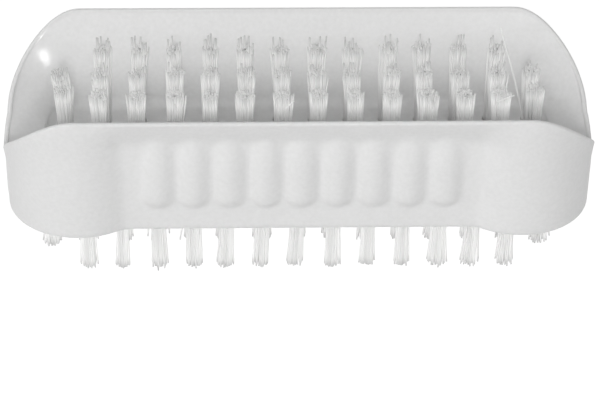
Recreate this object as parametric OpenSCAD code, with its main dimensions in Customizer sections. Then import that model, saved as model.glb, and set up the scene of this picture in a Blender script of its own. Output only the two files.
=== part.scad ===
/* [Body] */
// Length of the body over its two round ends
body_l = 94.4; // [86:0.2:120]
// Width over the rim of the two long wings
rim_w = 33; // [32:0.2:40]
// Height of the wings above the underside
body_h = 23.2; // [22:0.1:30]
// Height of the trough floor above the underside
floor_h = 7.4; // [7.2:0.1:9]
// Height of the two low ends above the trough floor
end_rise = 0.5; // [0.4:0.1:2]
// Reach of each round end lobe along the body
lobe_l = 11.6; // [10.5:0.1:14]
// Half width of the nearly flat middle of each end
end_flat = 4.6; // [2:0.1:6]
// How far that middle bows outward
end_bow = 0.5; // [0.2:0.05:1]
// Part of the rise from the low ends to the wings that the rim climbs in a straight line
rim_straight = 0.82; // [0.7:0.01:0.9]
// Rounding of the rim at the lowest point of each end
saddle_round = 0.3; // [0.2:0.1:2]
// Radius of the edge round the underside
foot_round = 1; // [0.8:0.1:2]

/* [Walls] */
// Thickness of the wall at the rim
lip_t = 0.8; // [0.7:0.1:1.4]
// Height of the flare that leads from the waist out to the rim
flare_h = 5; // [3:0.1:6]
// How far the rim stands out from the lobes below it
lip_proud = 0.2; // [0.1:0.05:0.4]
// How far the rim stands out from the low ends below it
end_proud = 0.3; // [0.1:0.05:0.5]
// Thickness of the wing behind the waist
wall_t = 1.5; // [1.2:0.1:1.8]
// Lean of the lobes from lip to underside
side_draft = 1.2; // [0.6:0.1:1.6]
// Lean of the low ends from lip to underside
end_draft = 0.1; // [0.1:0.1:1.4]
// Slope of the trough at its two ends
end_slope = 5.5; // [3:0.1:6]
// Radius between the trough floor and its walls
floor_round = 1.7; // [1:0.1:2]

/* [Waist and grip ribs] */
// Distance between the two waist faces at the underside
waist_w = 25.6; // [25:0.2:27]
// Lean of the waist faces over the height of the wings
waist_draft = 1.3; // [0.6:0.1:1.6]
// Softness of the corner where a lobe meets the waist
waist_blend = 0.5; // [0.2:0.1:1]
// Distance from one grip rib to the next
rib_pitch = 5.62; // [5.2:0.02:7]
// Width of one grip rib
rib_w = 5; // [3.6:0.1:5.4]
// How far a grip rib stands out of the waist face
rib_proud = 1.2; // [0.6:0.1:1.4]
// Height of the lower end of the ribs above the underside
rib_low = 4.9; // [4:0.1:6]
// Height of the upper end of the ribs above the underside
rib_high = 18; // [15:0.1:18.5]

/* [Tufts] */
// Distance from one tuft to the next along a row
tuft_pitch = 5.68; // [5.2:0.02:7]
// Distance from the outer rows of the upper face to the wings
row_edge = 4; // [3.6:0.1:5]
// Distance from the last tuft of the underside to the end of the body
tuft_end = 7.44; // [6:0.02:8.4]
// Distance between the two tufts at each end of the upper face
upper_end_gap = 5; // [4.6:0.1:7.4]
// Distance between the two rows of the underside
lower_row_gap = 7; // [6:0.1:7.6]
// Height of the upper tufts above the trough floor
upper_tuft_h = 15.2; // [11:0.1:17]
// Length of the lower tufts below the underside
lower_tuft_h = 13.6; // [10:0.1:16]
// How much shorter the tufts at the two ends are trimmed
end_trim = 2; // [0.6:0.1:3]
// Diameter of a tuft hole
hole_d = 2.2; // [1.8:0.05:2.4]
// Depth of the holes in the trough floor
upper_hole = 3.6; // [3:0.1:4.4]
// Depth of the holes in the underside
lower_hole = 3.6; // [3:0.1:4.4]
// Clearance between a tuft root and its hole
root_gap = 0.04; // [0.02:0.01:0.08]
// Width of a tuft over its tips
tip_d = 3; // [2.4:0.05:3.4]
// Width of one strand from its middle to a corner
strand_r = 0.33; // [0.26:0.01:0.36]
// How far the tufts lean at their tips
tip_lean = 0.3; // [0:0.05:0.5]
// Unevenness of the upper tips
tip_step = 0.4; // [0:0.05:0.8]

/* [Anchors] */
// Thickness of an anchor plate
anchor_t = 0.35; // [0.25:0.05:0.5]
// Height of an anchor plate
anchor_h = 1.4; // [1:0.1:1.8]

/* [Hidden] */
$fn = 48;
// Overrun of a cut past the face that it opens
cut = 0.5;

// The underside of the body stands this high over the tips of the lower tufts
base_z = lower_tuft_h;
// Middle of the round lobe at each end
lobe_x = body_l / 2 - lobe_l - end_bow;
// Height of the two low ends above the underside
end_h = floor_h + end_rise;
// Radius of the rounded edge of the rim
lip_r = lip_t / 2;
// Where the flare begins, as a share of the height of the wall
flare_share = 1 - flare_h / (body_h - lip_r - foot_round);
// Softness of the corner at its foot, as a share of its height
flare_blend = 0.2;
// Where the wing starts to lean out inside the trough, as a share of its depth
inner_share = 0.45;
inner_power = 1.6;
// How the trough curves up from its floor to the low ends
scoop_power = 1.7;
// Largest share of the depth that the rounding of the floor may take
round_share = 0.8;

// Steps of the outline from the middle of a long side to the middle of an end
side_shares = [0, 0.74, 0.775, 0.805, 0.835, 0.87, 0.91, 0.955];
corner_steps = 18;
end_shares = [1, 0.8, 0.6, 0.4, 0.25, 0.1, 0];

function mix(a, b, share) = a + (b - a) * share;
function soft_max(a, b, blend) = (a + b + sqrt((a - b) * (a - b) + blend * blend)) / 2;

// A station is [share along the side, angle round the lobe, share of the end flat]
quarter = concat(
    [for (s = side_shares) [s, 0, 1]],
    [for (i = [0 : corner_steps]) [1, 90 * i / corner_steps, 1]],
    [for (s = end_shares) if (s < 1) [1, 90, s]]);
last = len(quarter) - 1;
// Each ring runs round the four quarters as [station, side in x, side in y]
ring = concat(
    [for (i = [0 : last]) [quarter[i], 1, 1]],
    [for (i = [last - 1 : -1 : 0]) [quarter[i], 1, -1]],
    [for (i = [1 : last]) [quarter[i], -1, -1]],
    [for (i = [last - 1 : -1 : 1]) [quarter[i], -1, 1]]);

// Point of a rounded plan with its lobe reaching rx and ry from the lobe's middle
function plan(st, rx, ry) =
    [st[0] * lobe_x + rx * sin(st[1]) + end_bow * (1 - st[2] * st[2]),
     end_flat * st[2] + ry * cos(st[1])];
// The rim, drawn in by a distance
function rim_plan(st, inset) = plan(st, lobe_l - inset, rim_w / 2 - end_flat - inset);

// Height of the rim: level along the wings, falling round the corners and straight on to the ends
function rim_z(st) =
    let (wing = pow(cos(st[1]), 4),
         share = mix(wing, rim_plan(st, 0)[1] / (rim_w / 2), rim_straight),
         rise = (body_h - end_h) * share,
         soft = sqrt(rise * rise + saddle_round * saddle_round) - saddle_round,
         full = sqrt(pow(body_h - end_h, 2) + pow(saddle_round, 2)) - saddle_round)
    end_h + soft * (body_h - end_h) / full;

// Half width of the waist face and reach of the lobes at a height
function waist_y(z) = waist_w / 2 + waist_draft * z / body_h;
function lobe_reach_y(z) = rim_w / 2 - lip_proud - side_draft * (1 - z / body_h) - end_flat;
function lobe_reach_x(z) = lobe_l - end_proud - end_draft * max(0, 1 - z / end_h);

// Outer wall below the flare, drawn in by a distance for the rounded foot
function wall_point(st, z, inset) =
    let (rx = lobe_reach_x(z),
         ry = lobe_reach_y(z),
         off = (1 - st[0]) * lobe_x / rx,
         lobe = end_flat + ry * sqrt(max(0, 1 - off * off)),
         side = st[0] < 1 ? soft_max(waist_y(z), lobe, waist_blend) : 0)
    st[0] < 1 ? [st[0] * lobe_x, side - inset]
              : plan(st, rx - inset, ry - inset);

// Outer wall at a share of its height, leaning out to the rim over the height of the flare
function outer_point(st, share) =
    let (z = foot_round + share * (rim_z(st) - lip_r - foot_round),
         wall = wall_point(st, z, 0),
         rim = rim_plan(st, 0),
         step = (share - flare_share) / (1 - flare_share),
         s = soft_max(step, 0, flare_blend) / soft_max(1, 0, flare_blend))
    [mix(wall[0], rim[0], s), mix(wall[1], rim[1], s), z];

// Rounded edge under the wall, from the flat underside out to the wall
function foot_point(st, angle) =
    let (z = foot_round * (1 - cos(angle)),
         p = wall_point(st, z, foot_round * (1 - sin(angle))))
    [p[0], p[1], z];

// Rounded rim, from its outer face over to its inner face
function lip_point(st, angle) =
    let (p = rim_plan(st, lip_r * (1 - cos(angle))))
    [p[0], p[1], rim_z(st) - lip_r * (1 - sin(angle))];

// Trough wall at a share of its height; the angle turns it into the rounding of the floor
function trough_point(st, share, angle) =
    let (depth = rim_z(st) - lip_r - floor_h,
         round_r = min(floor_round, round_share * depth),
         z = floor_h + round_r * (1 - sin(angle)) + share * (depth - round_r),
         inset = round_r * (1 - cos(angle)),
         lean = pow(max(0, ((z - floor_h) / depth - inner_share) / (1 - inner_share)), inner_power),
         side_y = mix(waist_y(z) - wall_t, rim_w / 2 - lip_t, min(1, lean)) - inset,
         reach_x = lobe_l - lip_t - end_slope * pow(1 - share, scoop_power) - inset,
         p = plan(st, reach_x, side_y - end_flat))
    [p[0], p[1], z];

foot_angles = [0, 30, 60];
flare_steps = [-0.5, -0.2, -0.05, 0.1, 0.3, 1];
lip_angles = [30, 60, 90, 120, 150, 180];
trough_shares = [0.92, 0.84, 0.76, 0.68, 0.59, 0.5, 0.4, 0.27, 0.13, 0];
round_angles = [22.5, 45, 67.5, 90];
rows = concat(
    [for (a = foot_angles) [for (r = ring) mirrored(foot_point(r[0], a), r)]],
    [[for (r = ring) mirrored(outer_point(r[0], 0), r)]],
    [for (f = flare_steps) [for (r = ring) mirrored(outer_point(r[0], mix(flare_share, 1, f)), r)]],
    [for (a = lip_angles) [for (r = ring) mirrored(lip_point(r[0], a), r)]],
    [for (s = trough_shares) [for (r = ring) mirrored(trough_point(r[0], s, 0), r)]],
    [for (a = round_angles) [for (r = ring) mirrored(trough_point(r[0], 0, a), r)]]);
function mirrored(p, r) = [p[0] * r[1], p[1] * r[2], p[2]];

// Faces of a flat end of the loft, in strips from each point to the one across from it
function flat_faces(n, first) =
    let (across = function(i) first + (n / 2 - i + n) % n,
         at = function(i) first + (i + n) % n)
    concat(
        [for (i = [-n / 4 : n / 4 - 2]) [at(i + 1), across(i + 1), across(i)]],
        [for (i = [1 - n / 4 : n / 4 - 1]) [at(i), at(i + 1), across(i)]]);
function turned(faces) = [for (f = faces) [f[2], f[1], f[0]]];

// Closed loft through rings of points, flat at its first and last ring
module loft(rows) {
    n = len(rows[0]);
    top = len(rows) - 1;
    polyhedron(
        points = [for (row = rows) each row],
        faces = concat(
            turned(flat_faces(n, 0)),
            flat_faces(n, top * n),
            [for (j = [0 : top - 1]) for (i = [0 : n - 1])
                let (k = (i + 1) % n) [j * n + i, j * n + k, (j + 1) * n + i]],
            [for (j = [0 : top - 1]) for (i = [0 : n - 1])
                let (k = (i + 1) % n) [j * n + k, (j + 1) * n + k, (j + 1) * n + i]]),
        convexity = 8);
}

// Grip ribs
// Half length of the flat waist face between the lobes
waist_half = lobe_x - lobe_reach_x(0) * sqrt(1 - pow((waist_y(0) - end_flat) / lobe_reach_y(0), 2));
ribs_each_way = floor((waist_half - rib_w / 2) / rib_pitch);
// Radius of the round bar that shows as a rib, and how deep its middle lies
rib_r = (pow(rib_w / 2, 2) + rib_proud * rib_proud) / (2 * rib_proud);
rib_sink = rib_r - rib_proud;
rib_lean = atan(waist_draft / body_h);
// Depth to which a rib is joined into the wing
rib_root = wall_t / 5;

// A rib is the part of a round-ended bar that stands out of the waist face
module rib() {
    end_r = rib_w / 2;
    intersection() {
        translate([0, rib_sink, 0])
            rotate_extrude()
                intersection() {
                    union() {
                        translate([0, rib_low + end_r])
                            square([rib_r, rib_high - rib_low - 2 * end_r]);
                        translate([0, rib_low + end_r]) circle(r = rib_r);
                        translate([0, rib_high - end_r]) circle(r = rib_r);
                    }
                    square([rib_r, body_h]);
                }
        translate([-rib_w, -rib_proud - cut, 0])
            cube([2 * rib_w, rib_proud + cut + rib_root, body_h]);
    }
}

module ribs() {
    for (side = [0, 1])
        rotate([0, 0, 180 * side])
            for (i = [-ribs_each_way : ribs_each_way])
                translate([i * rib_pitch, -waist_w / 2, 0])
                    rotate([rib_lean, 0, 0]) rib();
}

// Tuft places
// The underside has a column at the middle; the upper columns stand half a step off it
lower_end_x = body_l / 2 - tuft_end;
columns = round(lower_end_x / tuft_pitch);
column_step = lower_end_x / columns;
upper_end_x = lower_end_x - column_step / 2;
upper_row_x = [for (i = [1 - columns : columns - 2]) (i + 1 / 2) * column_step];
lower_row_x = [for (i = [1 - columns : columns - 1]) i * column_step];
upper_row_gap = waist_w / 2 - wall_t - row_edge;
upper_places = concat(
    [for (row = [-1 : 1]) for (x = upper_row_x) [x, row * upper_row_gap]],
    [for (s = [-1, 1]) for (row = [-1, 1]) [s * upper_end_x, row * upper_end_gap / 2]]);
lower_places = concat(
    [for (row = [-1, 1]) for (x = lower_row_x) [x, row * lower_row_gap / 2]],
    [for (s = [-1, 1]) [s * lower_end_x, 0]]);

// Tufts
root_r = hole_d / 2 - root_gap;
// Strands of a tuft stand round one in the middle
strand_ring = 6;
strand_sides = 3;
// The outer strands rise well inside the edge of their root
strand_inset = 0.1;
root_spread = root_r - strand_r - strand_inset;
tip_spread = tip_d / 2 - strand_r;
// Depth to which a strand runs down into its root
strand_root = 1;
anchor_l = 2 * sqrt(pow(root_r, 2) - pow(anchor_t / 2, 2));

// One strand from a place at height z0 to a place at height z1
module strand(from, to, z0, z1) {
    n = strand_sides;
    corner = [for (i = [0 : n - 1]) strand_r * [cos(360 * i / n), sin(360 * i / n)]];
    polyhedron(
        points = concat(
            [for (c = corner) [from[0] + c[0], from[1] + c[1], z0]],
            [for (c = corner) [to[0] + c[0], to[1] + c[1], z1]]),
        faces = concat(
            [[for (i = [0 : n - 1]) i]],
            [[for (i = [n - 1 : -1 : 0]) n + i]],
            [for (i = [0 : n - 1]) [i, n + i, (i + 1) % n]],
            [for (i = [0 : n - 1]) [(i + 1) % n, n + i, n + (i + 1) % n]]));
}

// A tuft stands on a face at height zero, with its folded root in a hole below it
module tuft(tuft_h, hole, lean, seed, step) {
    difference() {
        translate([0, 0, -hole]) cylinder(r = root_r, h = hole);
        translate([-root_r - cut, -anchor_t / 2, -hole - cut])
            cube([2 * (root_r + cut), anchor_t, cut + anchor_h]);
    }
    for (i = [0 : strand_ring]) {
        turn = 360 * i / strand_ring;
        out = i == strand_ring ? 0 : 1;
        way = out * [cos(turn), sin(turn)];
        h = tuft_h - step * (1 + sin(seed + turn * 2)) / 2;
        strand(root_spread * way, tip_spread * way + lean, -strand_root, h);
    }
}

// Tufts lean a little this way and that, by a rule that repeats along a row
lean_turn = 137;
function lean_at(x) = tip_lean * [sin(lean_turn * x / column_step), cos(lean_turn * x / column_step)] / 2;

module upper_tufts(places, trim) {
    color("white")
        for (p = places)
            translate([p[0], p[1], base_z + floor_h])
                tuft(upper_tuft_h - trim, upper_hole, lean_at(p[0] + p[1]), lean_turn * p[0], tip_step);
}

module lower_tufts(places, trim) {
    color("white")
        for (p = places)
            translate([p[0], p[1], base_z])
                rotate([180, 0, 0])
                    tuft(lower_tuft_h - trim, lower_hole, lean_at(p[0] + p[1]), 0, 0);
}

// Sub-parts
module body() {
    color("whitesmoke")
        translate([0, 0, base_z])
            difference() {
                union() {
                    loft(rows);
                    ribs();
                }
                for (p = upper_places)
                    translate([p[0], p[1], floor_h - upper_hole])
                        cylinder(d = hole_d, h = upper_hole + cut);
                for (p = lower_places)
                    translate([p[0], p[1], -cut])
                        cylinder(d = hole_d, h = lower_hole + cut);
            }
}

module upper_row(row) {
    upper_tufts([for (x = upper_row_x) [x, row * upper_row_gap]], 0);
}

module upper_end(side) {
    upper_tufts([for (row = [-1, 1]) [side * upper_end_x, row * upper_end_gap / 2]], end_trim);
}

module lower_row(side) {
    lower_tufts([for (x = lower_row_x) [x, side * lower_row_gap / 2]], 0);
}

module lower_end(side) {
    lower_tufts([[side * lower_end_x, 0]], end_trim);
}

// Plates across the bottom of the holes, each holding one folded tuft
module anchors(places, z) {
    color("silver")
        for (p = places)
            translate([p[0] - anchor_l / 2, p[1] - anchor_t / 2, z])
                cube([anchor_l, anchor_t, anchor_h]);
}

body();
upper_row(-1);  // upper_tufts_front_row
upper_row(0);  // upper_tufts_middle_row
upper_row(1);  // upper_tufts_rear_row
upper_end(-1);  // upper_tufts_left_end
upper_end(1);  // upper_tufts_right_end
lower_row(-1);  // lower_tufts_front_row
lower_row(1);  // lower_tufts_rear_row
lower_end(-1);  // lower_tuft_left_end
lower_end(1);  // lower_tuft_right_end
anchors(upper_places, base_z + floor_h - upper_hole);  // upper_anchors
anchors(lower_places, base_z + lower_hole - anchor_h);  // lower_anchors
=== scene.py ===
import math
import random

import bmesh
import bpy
import numpy as np
from mathutils import Matrix, Vector


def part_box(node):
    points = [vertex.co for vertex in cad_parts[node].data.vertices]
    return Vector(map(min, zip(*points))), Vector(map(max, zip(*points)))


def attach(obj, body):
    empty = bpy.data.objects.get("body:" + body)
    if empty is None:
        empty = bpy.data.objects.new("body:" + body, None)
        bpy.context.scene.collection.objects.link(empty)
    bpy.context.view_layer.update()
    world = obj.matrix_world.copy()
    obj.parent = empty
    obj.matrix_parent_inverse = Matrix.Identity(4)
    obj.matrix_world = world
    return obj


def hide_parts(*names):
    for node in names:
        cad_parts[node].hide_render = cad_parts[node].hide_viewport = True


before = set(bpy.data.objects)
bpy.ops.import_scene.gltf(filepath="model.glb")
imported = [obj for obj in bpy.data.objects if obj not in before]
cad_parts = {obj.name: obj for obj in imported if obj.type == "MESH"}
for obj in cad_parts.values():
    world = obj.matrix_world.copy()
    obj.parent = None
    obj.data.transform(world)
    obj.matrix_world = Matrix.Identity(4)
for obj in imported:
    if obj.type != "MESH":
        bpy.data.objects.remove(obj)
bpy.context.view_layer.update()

MM = 0.001

# Places and sizes that the body in model.glb gives
BODY_LOW, BODY_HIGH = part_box("body")
BODY_L = BODY_HIGH.x - BODY_LOW.x
RIM_W = BODY_HIGH.y - BODY_LOW.y
BODY_H = BODY_HIGH.z - BODY_LOW.z
BASE_Z = BODY_LOW.z

# Body; its heights are above its underside
FLOOR_H = 7.4 * MM
FLOOR_Z = BASE_Z + FLOOR_H
END_RISE = 0.5 * MM
END_H = FLOOR_H + END_RISE
# The end lobes: their reach, and the flatter middle of each end with the bow that it has
LOBE_L = 11.6 * MM
END_FLAT = 4.6 * MM
END_BOW = 0.5 * MM
LOBE_X = BODY_L / 2 - LOBE_L - END_BOW
# The rim's fall to the low ends: the power of its curve round the corners, how straight it is,
# and the rounding where the two sides meet
RIM_POWER = 4
RIM_STRAIGHT = 0.82
SADDLE_ROUND = 0.3 * MM
FOOT_ROUND = 1 * MM
LIP_T = 0.8 * MM
LIP_R = LIP_T / 2
# How far the lip stands out of the wall below, at the sides and at the ends
LIP_PROUD = 0.2 * MM
END_PROUD = 0.3 * MM
SIDE_DRAFT = 1.2 * MM
END_DRAFT = 0.1 * MM
WAIST_W = 25.6 * MM
WAIST_DRAFT = 1.3 * MM
WAIST_BLEND = 0.5 * MM
# The flare from the waist to the lip; its start and its softness are shares of the wall's height
FLARE_H = 5 * MM
FLARE_SHARE = 1 - FLARE_H / (BODY_H - LIP_R - FOOT_ROUND)
FLARE_BLEND = 0.2
# The trough: its wall leans out above a share of its depth, its ends slope in to the floor, and
# the rounding of the floor takes no more than a share of the depth
WALL_T = 1.5 * MM
INNER_SHARE = 0.45
INNER_POWER = 1.6
END_SLOPE = 5.5 * MM
SCOOP_POWER = 1.7
FLOOR_ROUND = 1.7 * MM
ROUND_SHARE = 0.8
# Rows of points in each part of the body's surface, from the foot to the trough's floor
FOOT_ROWS, WALL_ROWS, FLARE_ROWS = 6, 44, 14
LIP_ROWS, TROUGH_ROWS, ROUND_ROWS = 12, 36, 7

# Grip ribs
RIBS_EACH_WAY = 4
RIB_PITCH = 5.62 * MM
RIB_W = 5 * MM
RIB_PROUD = 1.2 * MM
RIB_R = ((RIB_W / 2) ** 2 + RIB_PROUD**2) / (2 * RIB_PROUD)
RIB_LOW = 4.9 * MM
# Above this height the ribs lean back, and the flare takes them in before their own end
RIB_BACK_FROM = 13.5 * MM
RIB_BACK = 0.12
RIB_HIGH = 21.5 * MM
RIB_FILLET = 0.4 * MM

# Places of the tufts, and their holes
COLUMNS = 7
TUFT_END = 7.44 * MM
COLUMN_STEP = (BODY_L / 2 - TUFT_END) / COLUMNS
ROW_EDGE = 4 * MM
UPPER_ROW_GAP = WAIST_W / 2 - WALL_T - ROW_EDGE
UPPER_END_GAP = 5 * MM
LOWER_ROW_GAP = 7 * MM
UPPER_TUFT_H = 15.2 * MM
END_TRIM = 2 * MM
HOLE_D = 2.2 * MM
HOLE_SIDES = 20
UPPER_HOLE = 3.6 * MM
LOWER_HOLE = 3.6 * MM
# The rounded edge of a hole: how much wider it is, and how far down in shares of its size
HOLE_EDGE = 0.12 * MM
HOLE_PROFILE = [(HOLE_EDGE, 0.0), (HOLE_EDGE * 0.3, 0.3), (0.0, 1.0)]
ANCHOR_H = 1.4 * MM

# Filaments of a tuft
STRANDS = 46
# The filaments are counted from the middle out, and the ones before this one are never long
FIRST_LONG = STRANDS // 4
STRAND_D = 0.3 * MM
STRAND_TIP = 0.3 * STRAND_D
STRAND_SIDES = 5
STRAND_RINGS = 6
GOLDEN_ANGLE = math.radians(137.5)
ROOT_SPREAD = 0.93 * MM
TIP_SPREAD = 1.36 * MM
FLARE_POWER = 1.7
# The packed middle: its share of the bundle's width, how far it ends below the bulk's tips, the
# least share of its width that a ring has, and its place between the darkest and lightest strand
CORE_SHARE = 0.38
CORE_SHORT = 0.6 * MM
CORE_SIDES = 14
CORE_LEAST = 0.98
CORE_SHADE = 0.6
# How far the painted shade at the tips goes in the bulk; it is 1 on the long filaments
BULK_TIP_SHADE = 0.95
# Chance in a tuft: its lean sideways and deep in mm, its width, and how likely an outer filament
# is to splay
LEAN_X, LEAN_Y = 0.22, 0.15
WIDTHS = (0.88, 1.12)
SPLAYS = (0, 0, 0.1, 0.3)
# Filaments beyond this share of the bundle's width are the outer ones, which may splay
OUTER_SHARE = 0.9
# Chance in a filament: how far out it ends, and in mm its splay, its tip, its bow and, where it
# is a long one, its reach over the level
SPREADS = (0.85, 1.15)
SPLAY_OUT = (0.3, 0.8)
TIP_STRAY = 0.1
BOW = 0.06
LONG_REACH = (-0.1, 0.5)

# The tufts of each node in the trough: their cut, and how far they lean to the right. A cut is
# how ragged the bulk is, how far it ends below the level, and the fewest and most long filaments
UPPER_TUFTS = [
    ("upper_tufts_front_row", (0.3 * MM, 0, (0, 0)), 0),
    ("upper_tufts_middle_row", (0.35 * MM, 0.9 * MM, (1, 4)), 0),
    ("upper_tufts_rear_row", (0.4 * MM, 1.1 * MM, (4, 7)), 0),
    ("upper_tufts_left_end", (0.35 * MM, 0.3 * MM, (1, 3)), -0.8 * MM),
    ("upper_tufts_right_end", (0.35 * MM, 0.3 * MM, (1, 3)), 0)]
LOWER_TUFTS = ["lower_tufts_front_row", "lower_tufts_rear_row",
               "lower_tuft_left_end", "lower_tuft_right_end"]
LOWER_CUT = (0.1 * MM, 0, (0, 0))
UPPER_SEED, LOWER_SEED = 11, 31
# Single filaments out of line: node, foot and tip, in mm from the middle of the underside
STRAYS = [("upper_tufts_right_end", (36.6, -2.5, 5.2), (32.4, 9.5, 23.6)),
          ("upper_tufts_front_row", (30.3, -8.8, 21.6), (32.9, -8.9, 23.0)),
          ("upper_tufts_front_row", (-2.4, -8.8, 20.4), (-1.2, -8.9, 22.2))]
STRAY_BOW = (0, -0.3 * MM)


# Shape of the body
def mix(a, b, share):
    return a + (b - a) * share


def soft_max(a, b, blend):
    """The larger of two values, with a soft change from one to the other."""
    return (a + b + np.sqrt((a - b) ** 2 + blend**2)) / 2


class Ring:
    """The stations round the outline.

    A station has a share along the side, an angle round the lobe and a share of the end's flat.
    """

    SIDE_STEPS, CORNER_STEPS, END_STEPS = 100, 36, 8

    def __init__(self):
        side = [(i / self.SIDE_STEPS, 0.0, 1.0) for i in range(self.SIDE_STEPS)]
        corner = [(1.0, 90 * i / self.CORNER_STEPS, 1.0) for i in range(self.CORNER_STEPS + 1)]
        end = [(1.0, 90.0, 1 - i / self.END_STEPS) for i in range(1, self.END_STEPS + 1)]
        quarter = side + corner + end
        last = len(quarter) - 1
        turns = [(quarter[i], 1, 1) for i in range(last + 1)]
        turns += [(quarter[i], 1, -1) for i in range(last - 1, -1, -1)]
        turns += [(quarter[i], -1, -1) for i in range(1, last + 1)]
        turns += [(quarter[i], -1, 1) for i in range(last - 1, 0, -1)]
        self.share = np.array([t[0][0] for t in turns])
        self.angle = np.radians([t[0][1] for t in turns])
        self.end = np.array([t[0][2] for t in turns])
        self.side_x = np.array([t[1] for t in turns])
        self.side_y = np.array([t[2] for t in turns])
        self.rim = self.rim_z()

    def plan(self, reach_x, reach_y):
        """One quarter of the outline, with lobes of the given reach."""
        x = self.share * LOBE_X + reach_x * np.sin(self.angle) + END_BOW * (1 - self.end**2)
        return x, END_FLAT * self.end + reach_y * np.cos(self.angle)

    def rim_plan(self, inset):
        return self.plan(LOBE_L - inset, RIM_W / 2 - END_FLAT - inset)

    def rim_z(self):
        """Level along the wings, falling round the corners and straight on to the ends."""
        curve = np.cos(self.angle) ** RIM_POWER
        share = mix(curve, self.rim_plan(0)[1] / (RIM_W / 2), RIM_STRAIGHT)
        rise = (BODY_H - END_H) * share
        soft = np.sqrt(rise**2 + SADDLE_ROUND**2) - SADDLE_ROUND
        full = math.hypot(BODY_H - END_H, SADDLE_ROUND) - SADDLE_ROUND
        return END_H + soft * (BODY_H - END_H) / full

    def placed(self, x, y, z):
        """The points of a row, mirrored to their own quarters."""
        z = np.broadcast_to(z, x.shape)
        return np.stack([x * self.side_x, y * self.side_y, z + BASE_Z], axis=1)


def waist_y(z):
    return WAIST_W / 2 + WAIST_DRAFT * z / BODY_H


def rib_height(x, z):
    """How far the nearest grip rib stands out of the waist face; below zero beside it."""
    nearest = np.clip(np.round(x / RIB_PITCH), -RIBS_EACH_WAY, RIBS_EACH_WAY) * RIB_PITCH
    across = x - nearest
    along = z - np.clip(z, RIB_LOW + RIB_W / 2, RIB_HIGH - RIB_W / 2)
    bar = np.sqrt(np.maximum(0, RIB_R**2 - across**2 - along**2)) - (RIB_R - RIB_PROUD)
    return bar - RIB_BACK * np.maximum(0, z - RIB_BACK_FROM)


def wall(ring, z, inset):
    """Outer wall without flare and ribs, drawn in by the inset for the rounded foot."""
    reach_x = LOBE_L - END_PROUD - END_DRAFT * np.maximum(0, 1 - z / END_H)
    reach_y = RIM_W / 2 - LIP_PROUD - SIDE_DRAFT * (1 - z / BODY_H) - END_FLAT
    off = (1 - ring.share) * LOBE_X / reach_x
    lobe = END_FLAT + reach_y * np.sqrt(np.maximum(0, 1 - off**2))
    side = soft_max(waist_y(z), lobe, WAIST_BLEND) - inset
    x, y = ring.plan(reach_x - inset, reach_y - inset)
    on_side = ring.share < 1
    return np.where(on_side, ring.share * LOBE_X, x), np.where(on_side, side, y)


def foot_row(ring, angle):
    """Rounded foot, from the flat underside at angle 0 to the wall."""
    z = FOOT_ROUND * (1 - math.cos(angle))
    x, y = wall(ring, np.full(ring.share.shape, z), FOOT_ROUND * (1 - math.sin(angle)))
    return ring.placed(x, y, z)


def outer_row(ring, share):
    """Outer wall with its flare and ribs, at a share of its height."""
    z = FOOT_ROUND + share * (ring.rim - LIP_R - FOOT_ROUND)
    x, y = wall(ring, z, 0)
    rim_x, rim_y = ring.rim_plan(0)
    step = (share - FLARE_SHARE) / (1 - FLARE_SHARE)
    s = soft_max(step, 0, FLARE_BLEND) / soft_max(1, 0, FLARE_BLEND)
    flared = mix(y, rim_y, s)
    rib = np.where(ring.share < 1, y - flared + rib_height(ring.share * LOBE_X, z), -RIB_R)
    return ring.placed(mix(x, rim_x, s), flared + soft_max(rib, 0, RIB_FILLET), z)


def lip_row(ring, angle):
    """Half-round lip, from the outside at angle 0 over the top to the trough."""
    x, y = ring.rim_plan(LIP_R * (1 - math.cos(angle)))
    return ring.placed(x, y, ring.rim - LIP_R * (1 - math.sin(angle)))


def trough_row(ring, share, angle=0.0):
    """Trough wall at a share of its height; the angle turns it into the rounding of the floor."""
    depth = ring.rim - LIP_R - FLOOR_H
    round_r = np.minimum(FLOOR_ROUND, ROUND_SHARE * depth)
    z = FLOOR_H + round_r * (1 - math.sin(angle)) + share * (depth - round_r)
    inset = round_r * (1 - math.cos(angle))
    above = np.maximum(0, ((z - FLOOR_H) / depth - INNER_SHARE) / (1 - INNER_SHARE))
    side_y = mix(waist_y(z) - WALL_T, RIM_W / 2 - LIP_T, above**INNER_POWER) - inset
    reach_x = LOBE_L - LIP_T - END_SLOPE * (1 - share) ** SCOOP_POWER - inset
    x, y = ring.plan(reach_x, side_y - END_FLAT)
    return ring.placed(x, y, z)


def body_rows(ring):
    quarter_turn = math.pi / 2
    rows = [foot_row(ring, quarter_turn * i / FOOT_ROWS) for i in range(FOOT_ROWS)]
    rows += [outer_row(ring, FLARE_SHARE * i / WALL_ROWS) for i in range(WALL_ROWS)]
    rows += [outer_row(ring, mix(FLARE_SHARE, 1, i / FLARE_ROWS)) for i in range(FLARE_ROWS)]
    rows += [lip_row(ring, math.pi * i / LIP_ROWS) for i in range(LIP_ROWS)]
    rows += [trough_row(ring, 1 - i / TROUGH_ROWS) for i in range(TROUGH_ROWS)]
    rows += [trough_row(ring, 0, quarter_turn * i / ROUND_ROWS) for i in range(ROUND_ROWS + 1)]
    return rows


def upper_places():
    """Columns half a step off the middle: three rows, and two tufts at each end."""
    steps = range(1 - COLUMNS, COLUMNS - 1)
    rows = [[((i + 0.5) * COLUMN_STEP, row * UPPER_ROW_GAP) for i in steps] for row in (-1, 0, 1)]
    end_x = (COLUMNS - 0.5) * COLUMN_STEP
    ends = [[(side * end_x, row * UPPER_END_GAP / 2) for row in (-1, 1)] for side in (-1, 1)]
    return rows + ends


def lower_places():
    """Two rows with a column at the middle, and one tuft at each end."""
    steps = range(1 - COLUMNS, COLUMNS)
    rows = [[(i * COLUMN_STEP, row * LOWER_ROW_GAP / 2) for i in steps] for row in (-1, 1)]
    return rows + [[(side * COLUMNS * COLUMN_STEP, 0.0)] for side in (-1, 1)]


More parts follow.
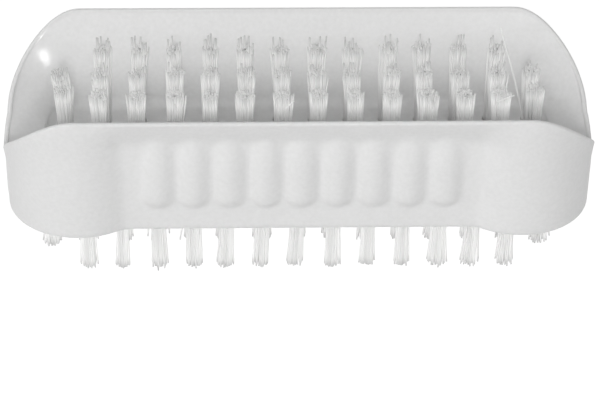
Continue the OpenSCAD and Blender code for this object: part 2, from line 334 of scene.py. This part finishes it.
def ring_at(x, y, z, radius, sides, turn=0.0):
    return [(x + radius * math.cos(turn + math.tau * j / sides),
             y + radius * math.sin(turn + math.tau * j / sides), z) for j in range(sides)]


def add_hole(bm, place, z, into):
    """A blind round hole with a small rounded edge, whose mouth it returns.

    The sign of into is the way that the hole runs, and its size the depth.
    """
    rings = []
    for grow, down in HOLE_PROFILE + [(0.0, None)]:
        depth = into if down is None else math.copysign(HOLE_EDGE * down, into)
        circle = ring_at(place[0], place[1], z + depth, HOLE_D / 2 + grow, HOLE_SIDES)
        rings.append([bm.verts.new(point) for point in circle])
    for upper, lower in zip(rings, rings[1:]):
        for i in range(HOLE_SIDES):
            k = (i + 1) % HOLE_SIDES
            bm.faces.new((upper[i], upper[k], lower[k], lower[i])).smooth = True
    bm.faces.new(rings[-1])
    return rings[0]


def close_flat(bm, outline, mouths):
    """Fills the flat face between an outline and the mouths of the holes in it."""
    edges = []
    for loop in [outline] + mouths:
        for a, b in zip(loop, loop[1:] + loop[:1]):
            edges.append(bm.edges.get((a, b)) or bm.edges.new((a, b)))
    made = bmesh.ops.triangle_fill(bm, use_beauty=True, edges=edges)
    for face in made["geom"]:
        if isinstance(face, bmesh.types.BMFace):
            face.smooth = False


def new_object(name, mesh, material):
    piece = bpy.data.objects.new(name, mesh)
    bpy.context.scene.collection.objects.link(piece)
    mesh.materials.append(material)
    return piece


def make_body(material):
    ring = Ring()
    count = len(ring.share)
    bm = bmesh.new()
    grid = [[bm.verts.new(p) for p in row.tolist()] for row in body_rows(ring)]
    for low, high in zip(grid, grid[1:]):
        for i in range(count):
            k = (i + 1) % count
            bm.faces.new((low[i], low[k], high[k], high[i])).smooth = True
    upper = [add_hole(bm, p, FLOOR_Z, -UPPER_HOLE) for row in upper_places() for p in row]
    lower = [add_hole(bm, p, BASE_Z, LOWER_HOLE) for row in lower_places() for p in row]
    close_flat(bm, grid[-1], upper)
    close_flat(bm, grid[0], lower)
    bmesh.ops.recalc_face_normals(bm, faces=bm.faces)
    mesh = bpy.data.meshes.new("moulded_body")
    bm.to_mesh(mesh)
    bm.free()
    return new_object("moulded_body", mesh, material)


# Tufts
class Tubes:
    """Gathers closed tubes into one mesh, with two values on each point for the material."""

    def __init__(self):
        self.points, self.faces, self.along, self.shade = [], [], [], []

    def add(self, rings, along, shade):
        """A tube through rings of as many points each; along has one value a ring."""
        first, sides = len(self.points), len(rings[0])
        for ring, value in zip(rings, along):
            self.points.extend(ring)
            self.along.extend([value] * sides)
            self.shade.extend([shade] * sides)
        for k in range(len(rings) - 1):
            a, b = first + k * sides, first + (k + 1) * sides
            for j in range(sides):
                m = (j + 1) % sides
                self.faces.append((a + j, a + m, b + m, b + j))
        top = first + (len(rings) - 1) * sides
        self.faces.append(tuple(top + j for j in range(sides)))
        self.faces.append(tuple(first + j for j in reversed(range(sides))))

    def build(self, name, material):
        mesh = bpy.data.meshes.new(name)
        mesh.from_pydata(self.points, [], self.faces)
        mesh.update()
        for label, values in (("along", self.along), ("shade", self.shade)):
            mesh.attributes.new(label, "FLOAT", "POINT").data.foreach_set("value", values)
        mesh.shade_smooth()
        return new_object(name, mesh, material)


class Tufts:
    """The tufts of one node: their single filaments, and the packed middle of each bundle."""

    def __init__(self, seed):
        self.rng = random.Random(seed)
        self.strands, self.cores = Tubes(), Tubes()

    def strand(self, root, tip, z0, z1, bow, tip_shade=0.0):
        """One filament, from a root place at z0 to a tip place at z1, bowed in the middle."""
        turn = self.rng.uniform(0, math.tau)
        way = math.copysign(1, z1 - z0)
        rings, along = [], []
        for k in range(STRAND_RINGS + 1):
            t = k / STRAND_RINGS
            grow, bend = t**FLARE_POWER, math.sin(math.pi * t)
            x = root[0] + (tip[0] - root[0]) * grow + bow[0] * bend
            y = root[1] + (tip[1] - root[1]) * grow + bow[1] * bend
            z = mix(z0, z1, t) - (way * STRAND_TIP if t == 1 else 0)
            rings.append(ring_at(x, y, z, STRAND_D / 2, STRAND_SIDES, turn))
            # Painted shade: this value darkens the filament towards its tip
            along.append(t * tip_shade)
        rings.append(ring_at(x, y, z1, STRAND_TIP, STRAND_SIDES, turn))
        self.strands.add(rings, along + [tip_shade], self.rng.random())

    def core(self, place, lean, wide, z0, z1):
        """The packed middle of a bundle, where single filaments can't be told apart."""
        rings, along = [], []
        for k in range(STRAND_RINGS + 1):
            t = k / STRAND_RINGS
            grow = t**FLARE_POWER
            x, y = place[0] + lean[0] * grow, place[1] + lean[1] * grow
            radius = CORE_SHARE * mix(ROOT_SPREAD, wide, grow) * self.rng.uniform(CORE_LEAST, 1)
            rings.append(ring_at(x, y, mix(z0, z1, t), radius, CORE_SIDES))
            # Painted shade: the middle darkens towards its top like the bulk's tips
            along.append(BULK_TIP_SHADE * t)
        self.cores.add(rings, along, CORE_SHADE)

    def tuft(self, place, root_z, tip_z, cut, aside=0):
        """A round bundle of filaments that opens towards its tips."""
        rng = self.rng
        lean = (aside + rng.gauss(0, LEAN_X) * MM, rng.gauss(0, LEAN_Y) * MM)
        wide = TIP_SPREAD * rng.uniform(*WIDTHS)
        split = rng.uniform(0, math.tau)
        splay = rng.choice(SPLAYS)
        way = math.copysign(1, tip_z - root_z)
        ragged, bulk_short, long_ones = cut
        level = tip_z - way * bulk_short
        self.core(place, lean, wide, root_z, level - way * CORE_SHORT)
        long_set = set(rng.sample(range(FIRST_LONG, STRANDS), rng.randint(*long_ones)))
        for i in range(STRANDS):
            share = math.sqrt((i + 0.5) / STRANDS)
            turn = i * GOLDEN_ANGLE + split
            across, deep = math.cos(turn), math.sin(turn)
            root = (place[0] + ROOT_SPREAD * share * across, place[1] + ROOT_SPREAD * share * deep)
            out = wide * share * rng.uniform(*SPREADS)
            if share > OUTER_SHARE and rng.random() < splay:
                out = out + rng.uniform(*SPLAY_OUT) * MM
            tip = (place[0] + lean[0] + out * across + rng.gauss(0, TIP_STRAY) * MM,
                   place[1] + lean[1] + out * deep + rng.gauss(0, TIP_STRAY) * MM)
            short = abs(rng.gauss(0, ragged))
            bow = (rng.gauss(0, BOW) * MM, rng.gauss(0, BOW) * MM)
            if i in long_set:
                end_z = tip_z + way * rng.uniform(*LONG_REACH) * MM
                self.strand(root, tip, root_z, end_z, bow, 1.0)
            else:
                self.strand(root, tip, root_z, level - way * short, bow, BULK_TIP_SHADE)

    def build(self, name, material):
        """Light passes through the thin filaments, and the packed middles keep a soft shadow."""
        strands = self.strands.build(name + "_strands", material)
        strands.visible_shadow = False
        return [strands, self.cores.build(name + "_cores", material)]


def make_tufts(material):
    """Every tuft, as pairs of its node's pieces and the name of the node."""
    made = []
    upper = zip(UPPER_TUFTS, upper_places())
    for seed, ((name, cut, aside), places) in enumerate(upper, UPPER_SEED):
        tufts = Tufts(seed)
        tip_z = FLOOR_Z + UPPER_TUFT_H - (END_TRIM if name.endswith("end") else 0)
        for place in places:
            tufts.tuft(place, FLOOR_Z - UPPER_HOLE + ANCHOR_H, tip_z, cut, aside)
        for node, foot, tip in STRAYS:
            if node == name:
                start, end = Vector(foot) * MM, Vector(tip) * MM
                tufts.strand(start, end, BASE_Z + start.z, BASE_Z + end.z, STRAY_BOW)
        made.append((tufts.build(name, material), name))
    for seed, (name, places) in enumerate(zip(LOWER_TUFTS, lower_places()), LOWER_SEED):
        tufts = Tufts(seed)
        tip_z = END_TRIM if name.endswith("end") else 0
        for place in places:
            tufts.tuft(place, BASE_Z + LOWER_HOLE - ANCHOR_H, tip_z, LOWER_CUT)
        made.append((tufts.build(name, material), name))
    return made


# Materials
# The plastic's two shades, its roughness in the trough and outside, and how much that varies
PLASTIC_SHADES = [(0.3, (0.784, 0.784, 0.781)), (0.7, (0.82, 0.82, 0.818))]
TROUGH_ROUGH, OUTER_ROUGH = 0.15, 0.4
UNEVEN_ROUGH = 0.05
# The outward value where the plastic is as smooth as in the trough, and where as rough as outside
OUTWARD = (1 * MM, 4 * MM)
PLASTIC_IOR = 1.49
# Noise in the plastic, in cycles a metre: its mottling and its uneven gloss
MOTTLING, UNEVEN_GLOSS = 1500, 300
# Its waves and its grain, as cycles a metre, height and strength
WAVES = (70, 0.05 * MM, 0.05)
GRAIN = (4200, 0.005 * MM, 0.3)
# The nylon's shades from strand to strand, the painted shade that darkens the filaments towards
# their tips, and the share of the light that goes through
STRAND_SHADES = [(0.0, (0.9, 0.9, 0.896)), (1.0, (0.94, 0.94, 0.937))]
PAINTED_TIP_SHADES = [(0.87, (1, 1, 1)), (1.0, (0.72, 0.72, 0.72))]
NYLON_ROUGH = (0.3, 0.45)
NYLON_NOISE = 2500
NYLON_IOR = 1.53
NYLON_THROUGH = 0.25
# The anchors' shades, and the noise of their scratches with its squeeze across them
METAL_SHADES = [(0.3, (0.50, 0.49, 0.47)), (0.7, (0.66, 0.65, 0.62))]
METAL_ROUGH = (0.25, 0.45)
METAL_NOISE = 900
METAL_SQUEEZE = (1, 12, 12)


def new_material(name):
    material = bpy.data.materials.new(name)
    material.use_nodes = True
    nodes = material.node_tree.nodes
    return material, material.node_tree, nodes["Principled BSDF"]


def coordinates(tree):
    return tree.nodes.get("Texture Coordinate") or tree.nodes.new("ShaderNodeTexCoord")


def noise(tree, scale, detail):
    """Noise over the object's own coordinates; the scale is in cycles a metre."""
    texture = tree.nodes.new("ShaderNodeTexNoise")
    texture.inputs["Scale"].default_value = scale
    texture.inputs["Detail"].default_value = detail
    tree.links.new(coordinates(tree).outputs["Object"], texture.inputs["Vector"])
    return texture.outputs["Fac"]


def remap(tree, value, low, high, from_low=0.3, from_high=0.7):
    """Turns a range of values into another; the default one is about what noise gives."""
    node = tree.nodes.new("ShaderNodeMapRange")
    node.inputs["From Min"].default_value = from_low
    node.inputs["From Max"].default_value = from_high
    node.inputs["To Min"].default_value = low
    node.inputs["To Max"].default_value = high
    tree.links.new(value, node.inputs["Value"])
    return node.outputs["Result"]


def ramp(tree, value, stops):
    """Colour ramp with stops of (place, colour)."""
    node = tree.nodes.new("ShaderNodeValToRGB")
    elements = node.color_ramp.elements
    while len(elements) < len(stops):
        elements.new(0.5)
    for element, (position, color) in zip(elements, stops):
        element.position = position
        element.color = (*color, 1)
    tree.links.new(value, node.inputs["Fac"])
    return node.outputs["Color"]


def calculate(tree, operation, a, b):
    node = tree.nodes.new("ShaderNodeMath")
    node.operation = operation
    tree.links.new(a, node.inputs[0])
    tree.links.new(b, node.inputs[1])
    return node.outputs["Value"]


def bump(tree, scale, height, strength, below=None):
    """Noise in the height of a surface, over the bump below it."""
    node = tree.nodes.new("ShaderNodeBump")
    node.inputs["Distance"].default_value = height
    node.inputs["Strength"].default_value = strength
    tree.links.new(noise(tree, scale, 1), node.inputs["Height"])
    if below is not None:
        tree.links.new(below, node.inputs["Normal"])
    return node.outputs["Normal"]


def outward(tree):
    """Well above zero on the outer walls, and zero or less inside the trough."""
    product = tree.nodes.new("ShaderNodeVectorMath")
    product.operation = "MULTIPLY"
    tree.links.new(coordinates(tree).outputs["Object"], product.inputs[0])
    tree.links.new(coordinates(tree).outputs["Normal"], product.inputs[1])
    parts = tree.nodes.new("ShaderNodeSeparateXYZ")
    tree.links.new(product.outputs["Vector"], parts.inputs["Vector"])
    return calculate(tree, "MAXIMUM", parts.outputs["X"], parts.outputs["Y"])


def moulded_plastic():
    """White moulded plastic, satin outside and glossy in the trough, with a fine mould texture."""
    material, tree, shader = new_material("white_moulded_plastic")
    color = ramp(tree, noise(tree, MOTTLING, 2), PLASTIC_SHADES)
    tree.links.new(color, shader.inputs["Base Color"])
    uneven = remap(tree, noise(tree, UNEVEN_GLOSS, 2), 0.0, UNEVEN_ROUGH)
    satin = remap(tree, outward(tree), TROUGH_ROUGH, OUTER_ROUGH, *OUTWARD)
    tree.links.new(calculate(tree, "ADD", uneven, satin), shader.inputs["Roughness"])
    shader.inputs["IOR"].default_value = PLASTIC_IOR
    grain = bump(tree, *GRAIN, bump(tree, *WAVES))
    tree.links.new(grain, shader.inputs["Normal"])
    return material


def point_value(tree, name):
    node = tree.nodes.new("ShaderNodeAttribute")
    node.attribute_name = name
    return node.outputs["Fac"]


def nylon():
    """White nylon filament: a little difference in tone from strand to strand, and painted shade
    that darkens it towards the tips.
    """
    material, tree, shader = new_material("white_nylon")
    body = ramp(tree, point_value(tree, "shade"), STRAND_SHADES)
    # Painted shade that darkens each filament towards its tip
    tip = ramp(tree, point_value(tree, "along"), PAINTED_TIP_SHADES)
    mixer = tree.nodes.new("ShaderNodeMix")
    mixer.data_type = "RGBA"
    mixer.blend_type = "MULTIPLY"
    mixer.inputs["Factor"].default_value = 1.0
    tree.links.new(body, mixer.inputs["A"])
    tree.links.new(tip, mixer.inputs["B"])
    tree.links.new(mixer.outputs["Result"], shader.inputs["Base Color"])
    rough = remap(tree, noise(tree, NYLON_NOISE, 2), *NYLON_ROUGH)
    tree.links.new(rough, shader.inputs["Roughness"])
    shader.inputs["IOR"].default_value = NYLON_IOR
    through = tree.nodes.new("ShaderNodeBsdfTranslucent")
    tree.links.new(mixer.outputs["Result"], through.inputs["Color"])
    blend = tree.nodes.new("ShaderNodeMixShader")
    blend.inputs["Fac"].default_value = NYLON_THROUGH
    tree.links.new(shader.outputs["BSDF"], blend.inputs[1])
    tree.links.new(through.outputs["BSDF"], blend.inputs[2])
    tree.links.new(blend.outputs["Shader"], tree.nodes["Material Output"].inputs["Surface"])
    return material


def plate_metal():
    """Thin rolled steel strip of the anchors, with fine scratches along it."""
    material, tree, shader = new_material("anchor_plate_metal")
    squeeze = tree.nodes.new("ShaderNodeMapping")
    squeeze.inputs["Scale"].default_value = METAL_SQUEEZE
    tree.links.new(coordinates(tree).outputs["Object"], squeeze.inputs["Vector"])
    texture = tree.nodes.new("ShaderNodeTexNoise")
    texture.inputs["Scale"].default_value = METAL_NOISE
    tree.links.new(squeeze.outputs["Vector"], texture.inputs["Vector"])
    streaks = texture.outputs["Fac"]
    tree.links.new(ramp(tree, streaks, METAL_SHADES), shader.inputs["Base Color"])
    tree.links.new(remap(tree, streaks, *METAL_ROUGH), shader.inputs["Roughness"])
    shader.inputs["Metallic"].default_value = 1.0
    return material


# Surroundings
VIEW_ELEVATION = 33.7
VIEW_TURN = -2.26
VIEW_ROLL = 0.98
VIEW_DISTANCE = 0.45
PIXELS_A_METRE = 6360
PICTURE_W, PICTURE_H = 600, 400
# The aim point, and the pixel of the picture where it shows
AIM_H = 23.5 * MM
AIM = Vector((0, 0, BASE_Z + AIM_H))
AIM_PIXEL = (300.1, 61.7)
SENSOR = 36.0
CLIP_NEAR, CLIP_FAR = 0.05, 20
# The world's light at the horizon and the zenith, and how it changes from the back right side
# to the front left one
HORIZON, ZENITH = 0.40, 0.29
BRIGHT_SIDE = (-0.5, -0.86, 0)
SIDE_LEVELS = (0.82, 1.18)
FLOOR_RADIUS = 6
FLOOR_SIDES = 64
FLOOR_WHITE = 0.8
# What the floor shows to the eye: its own glow, and the part that takes a shadow
FLOOR_GLOW = 0.86
FLOOR_SHADED = 0.35


def make_camera():
    """The photograph's view: straight at the aim point, then turned until that is at its pixel."""
    e, turn, roll = (math.radians(v) for v in (VIEW_ELEVATION, VIEW_TURN, VIEW_ROLL))
    right = Vector((math.cos(turn), math.sin(turn), 0))
    level = Vector((-math.sin(turn), math.cos(turn), 0))
    ahead = level * math.cos(e) - Vector((0, 0, math.sin(e)))
    up = level * math.sin(e) + Vector((0, 0, math.cos(e)))
    picture_right = right * math.cos(roll) + up * math.sin(roll)
    picture_down = right * math.sin(roll) - up * math.cos(roll)
    across, down = PICTURE_W / 2 - AIM_PIXEL[0], PICTURE_H / 2 - AIM_PIXEL[1]
    axis = ahead * PIXELS_A_METRE * VIEW_DISTANCE + picture_right * across + picture_down * down
    back = -axis.normalized()
    side = picture_right - back * picture_right.dot(back)
    side.normalize()
    data = bpy.data.cameras.new("photo_camera")
    data.sensor_width = SENSOR
    data.lens = SENSOR * PIXELS_A_METRE * VIEW_DISTANCE / PICTURE_W
    data.clip_start, data.clip_end = CLIP_NEAR, CLIP_FAR
    camera = bpy.data.objects.new("photo_camera", data)
    bpy.context.scene.collection.objects.link(camera)
    turned = Matrix((side, back.cross(side), back)).transposed().to_4x4()
    camera.matrix_world = Matrix.Translation(AIM - ahead * VIEW_DISTANCE) @ turned
    bpy.context.scene.camera = camera


def seen_ray(tree):
    """1 for camera, glossy and transmission rays."""
    light_path = tree.nodes.new("ShaderNodeLightPath")
    largest = light_path.outputs["Is Camera Ray"]
    for name in ("Is Glossy Ray", "Is Transmission Ray"):
        largest = calculate(tree, "MAXIMUM", largest, light_path.outputs[name])
    return largest


def make_world():
    """White to the eye and in reflections; as a light it fades to the zenith and the back right."""
    world = bpy.data.worlds.new("studio")
    bpy.context.scene.world = world
    world.use_nodes = True
    tree = world.node_tree
    background = tree.nodes["Background"]
    way = coordinates(tree).outputs["Generated"]
    parts = tree.nodes.new("ShaderNodeSeparateXYZ")
    tree.links.new(way, parts.inputs["Vector"])
    by_height = remap(tree, parts.outputs["Z"], HORIZON, ZENITH, 0, 1)
    aside = tree.nodes.new("ShaderNodeVectorMath")
    aside.operation = "DOT_PRODUCT"
    aside.inputs[1].default_value = BRIGHT_SIDE
    tree.links.new(way, aside.inputs[0])
    by_side = remap(tree, aside.outputs["Value"], *SIDE_LEVELS, -1, 1)
    strength = tree.nodes.new("ShaderNodeMapRange")
    tree.links.new(calculate(tree, "MULTIPLY", by_height, by_side), strength.inputs["To Min"])
    strength.inputs["To Max"].default_value = 1.0
    tree.links.new(seen_ray(tree), strength.inputs["Value"])
    background.inputs["Color"].default_value = (1, 1, 1, 1)
    tree.links.new(strength.outputs["Result"], background.inputs["Strength"])


def floor_material():
    """White floor that keeps a soft shadow and is not seen from below."""
    material = bpy.data.materials.new("white_floor")
    material.use_nodes = True
    tree = material.node_tree
    tree.nodes.remove(tree.nodes["Principled BSDF"])
    output = tree.nodes["Material Output"]

    def diffuse(level):
        node = tree.nodes.new("ShaderNodeBsdfDiffuse")
        node.inputs["Color"].default_value = (level, level, level, 1)
        return node.outputs[0]

    def mixed(factor, a, b):
        node = tree.nodes.new("ShaderNodeMixShader")
        tree.links.new(factor, node.inputs[0])
        tree.links.new(a, node.inputs[1])
        tree.links.new(b, node.inputs[2])
        return node.outputs[0]

    glow = tree.nodes.new("ShaderNodeEmission")
    glow.inputs["Strength"].default_value = FLOOR_GLOW
    seen = tree.nodes.new("ShaderNodeAddShader")
    tree.links.new(glow.outputs[0], seen.inputs[0])
    tree.links.new(diffuse(FLOOR_SHADED), seen.inputs[1])
    shown = mixed(seen_ray(tree), diffuse(FLOOR_WHITE), seen.outputs[0])
    below = tree.nodes.new("ShaderNodeNewGeometry").outputs["Backfacing"]
    clear = tree.nodes.new("ShaderNodeBsdfTransparent").outputs[0]
    tree.links.new(mixed(below, shown, clear), output.inputs["Surface"])
    return material


def make_floor():
    bm = bmesh.new()
    bmesh.ops.create_circle(bm, cap_ends=True, radius=FLOOR_RADIUS, segments=FLOOR_SIDES)
    mesh = bpy.data.meshes.new("floor")
    bm.to_mesh(mesh)
    bm.free()
    floor = new_object("floor", mesh, floor_material())


def make_lamp(name, azimuth, elevation, distance, width, height, power, roll=0):
    """A soft box that points at the object; azimuth 0 is at the front and 90 at the right."""
    data = bpy.data.lights.new(name, "AREA")
    data.shape = "RECTANGLE"
    data.size, data.size_y = width, height
    data.energy = power
    lamp = bpy.data.objects.new(name, data)
    bpy.context.scene.collection.objects.link(lamp)
    a, e = math.radians(azimuth), math.radians(elevation)
    way = Vector((math.sin(a) * math.cos(e), -math.cos(a) * math.cos(e), math.sin(e)))
    facing = way.to_track_quat("Z", "Y").to_matrix().to_4x4()
    rolled = facing @ Matrix.Rotation(math.radians(roll), 4, "Z")
    lamp.matrix_world = Matrix.Translation(way * distance) @ rolled
    return lamp


def make_surroundings():
    make_camera()
    make_world()
    make_floor()
    front = make_lamp("front_softbox", azimuth=-2.3, elevation=28, distance=1.6,
                      width=0.2, height=0.5, power=9.9)
    make_lamp("left_softbox", azimuth=-62, elevation=20, distance=1.6,
              width=0.7, height=0.8, power=4.8)
    rear = make_lamp("rear_fill", azimuth=168, elevation=10, distance=1.6,
                     width=1.0, height=0.5, power=6.0)
    strip = make_lamp("right_strip", azimuth=23, elevation=15.5, distance=1.5,
                      width=0.07, height=0.85, power=7.0, roll=34)
    # The front lamp and the fill give no highlights of their own, and the strip gives nothing else
    front.visible_glossy = False
    rear.visible_glossy = False
    strip.visible_diffuse = False
    bpy.context.scene.view_settings.view_transform = "Standard"


def main():
    make_surroundings()
    plastic = moulded_plastic()
    bristle = nylon()
    body = make_body(plastic)
    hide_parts("body")
    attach(body, "root")
    for tuft_pieces, node in make_tufts(bristle):
        for piece in tuft_pieces:
            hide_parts(node)
            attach(piece, "root")
    metal = plate_metal()
    for node in ("upper_anchors", "lower_anchors"):
        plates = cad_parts[node]
        plates.data.materials.clear()
        plates.data.materials.append(metal)


main()
